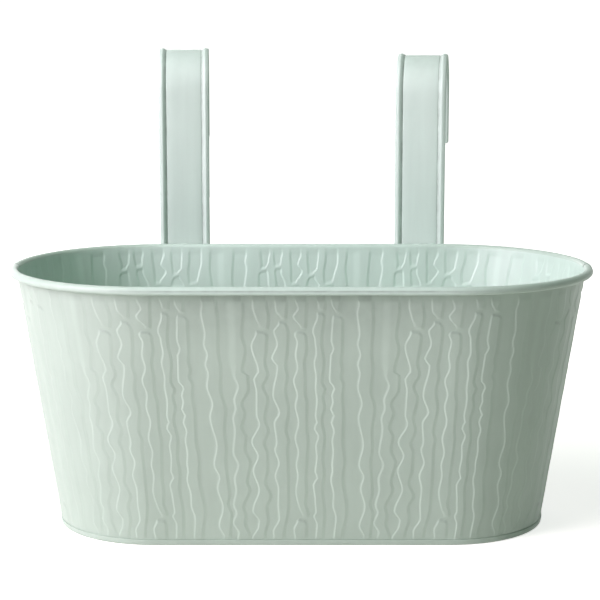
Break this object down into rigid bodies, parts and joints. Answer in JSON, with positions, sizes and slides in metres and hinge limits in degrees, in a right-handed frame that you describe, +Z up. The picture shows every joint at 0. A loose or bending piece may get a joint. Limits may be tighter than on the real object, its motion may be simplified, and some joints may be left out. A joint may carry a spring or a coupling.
{
  "type": "hanging fence planter",
  "caption": "Oval tapered sheet-metal trough with a rolled rim, a bark-like embossed wall and strap hooks at the back that hang it over a fence or rail.",
  "frame": {"origin": "centre of the flat underside of the base, on the surface that the trough stands on", "axes": "+Z up, +X along the length of the trough, +Y towards the back with the hooks, so the front faces -Y"},
  "size_m": [0.32, 0.2139, 0.2578],
  "materials": {
    "wall": "semi-gloss mint green paint",
    "base": "semi-gloss mint green paint",
    "keeper": "semi-gloss mint green paint",
    "rivet": "semi-gloss mint green paint",
    "hook": "semi-gloss mint green paint"
  },
  "bodies": {
    "trough": {"front_panel": "wall", "rear_panel": "wall", "base_pan": "base", "keeper_left": "keeper", "keeper_right": "keeper", "rivet_left_1": "rivet", "rivet_left_2": "rivet", "rivet_right_1": "rivet", "rivet_right_2": "rivet"},
    "left_hook": {"hook_left": "hook"},
    "right_hook": {"hook_right": "hook"}
  },
  "joints": [
    {"name": "left_hook_slide", "type": "slide", "parent": "trough", "child": "left_hook", "axis": [0, 0, 1], "range_m": [-0.02, 0]},
    {"name": "right_hook_slide", "type": "slide", "parent": "trough", "child": "right_hook", "axis": [0, 0, 1], "range_m": [-0.0167, 0.0025]}
  ]
}
